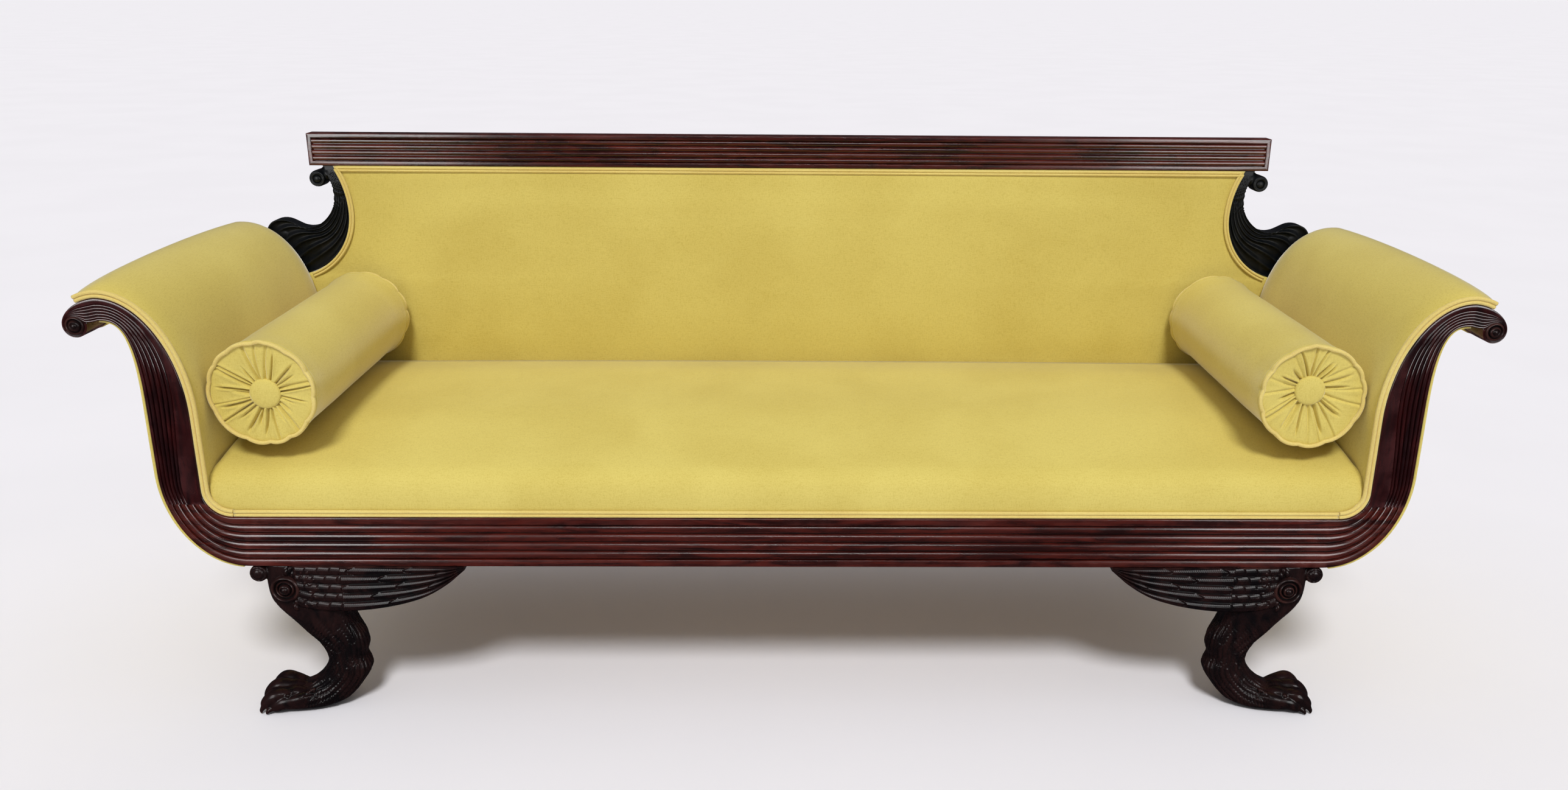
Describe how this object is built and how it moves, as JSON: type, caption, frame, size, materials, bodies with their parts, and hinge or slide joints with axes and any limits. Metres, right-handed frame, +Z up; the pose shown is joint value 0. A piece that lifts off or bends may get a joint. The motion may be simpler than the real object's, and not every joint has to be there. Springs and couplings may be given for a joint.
{
  "type": "scroll arm sofa",
  "caption": "Long upholstered sofa with reeded scroll arms, a straight crest rail on carved brackets, winged paw feet in front and a loose round bolster at each end.",
  "frame": {"origin": "on the floor under the middle of the sofa's bounding box", "axes": "+X to the right seen from the front, +Y from the front to the back, +Z up"},
  "size_m": [2.1922, 0.665, 0.883],
  "materials": {
    "gold_cloth": "plain woven mustard gold cloth with a soft sheen",
    "polished_mahogany": "french polished dark red mahogany with round reeds",
    "carved_mahogany": "carved dark mahogany, darker in the hollows",
    "frame_timber": "planed bare timber",
    "webbing": "woven jute straps",
    "sacking": "coarse hessian"
  },
  "bodies": {
    "frame": {"back_lower_rail": "frame_timber", "back_pad": "gold_cloth", "back_sacking": "sacking", "back_seat_rail": "frame_timber", "back_stiles": "frame_timber", "back_upper_rail": "frame_timber", "back_webbing": "webbing", "back_welt": "gold_cloth", "bracket_eyes": "carved_mahogany", "corner_blocks": "frame_timber", "crest_rail": "polished_mahogany", "dust_cover": "sacking", "front_seat_rail": "polished_mahogany", "left_arm_facing": "polished_mahogany", "left_arm_pad": "gold_cloth", "left_arm_roll_rail": "frame_timber", "left_arm_tacking_rail": "frame_timber", "left_arm_welt": "gold_cloth", "left_back_post": "frame_timber", "left_crest_bracket": "carved_mahogany", "left_front_leg": "carved_mahogany", "left_leg_wing": "carved_mahogany", "left_outside_arm_panel": "gold_cloth", "left_rail_corner": "polished_mahogany", "left_rear_arm_board": "frame_timber", "left_rear_leg": "carved_mahogany", "left_side_seat_rail": "frame_timber", "leg_rosettes": "carved_mahogany", "outside_back_panel": "gold_cloth", "right_arm_facing": "polished_mahogany", "right_arm_pad": "gold_cloth", "right_arm_roll_rail": "frame_timber", "right_arm_tacking_rail": "frame_timber", "right_arm_welt": "gold_cloth", "right_back_post": "frame_timber", "right_crest_bracket": "carved_mahogany", "right_front_leg": "carved_mahogany", "right_leg_wing": "carved_mahogany", "right_outside_arm_panel": "gold_cloth", "right_rail_corner": "polished_mahogany", "right_rear_arm_board": "frame_timber", "right_rear_leg": "carved_mahogany", "right_side_seat_rail": "frame_timber", "scroll_bosses": "carved_mahogany", "seat_pad": "gold_cloth", "seat_sacking": "sacking", "seat_stretchers": "frame_timber", "seat_webbing": "webbing", "seat_welt": "gold_cloth"},
    "left_bolster": {"left_bolster": "gold_cloth", "left_bolster_piping": "gold_cloth", "left_bolster_buttons": "gold_cloth"},
    "right_bolster": {"right_bolster": "gold_cloth", "right_bolster_piping": "gold_cloth", "right_bolster_buttons": "gold_cloth"}
  },
  "joints": [
    {"name": "left_bolster_lift", "type": "slide", "parent": "frame", "child": "left_bolster", "axis": [0, 0, 1], "range_m": [0, 0.5]},
    {"name": "right_bolster_lift", "type": "slide", "parent": "frame", "child": "right_bolster", "axis": [0, 0, 1], "range_m": [0, 0.5]}
  ]
}
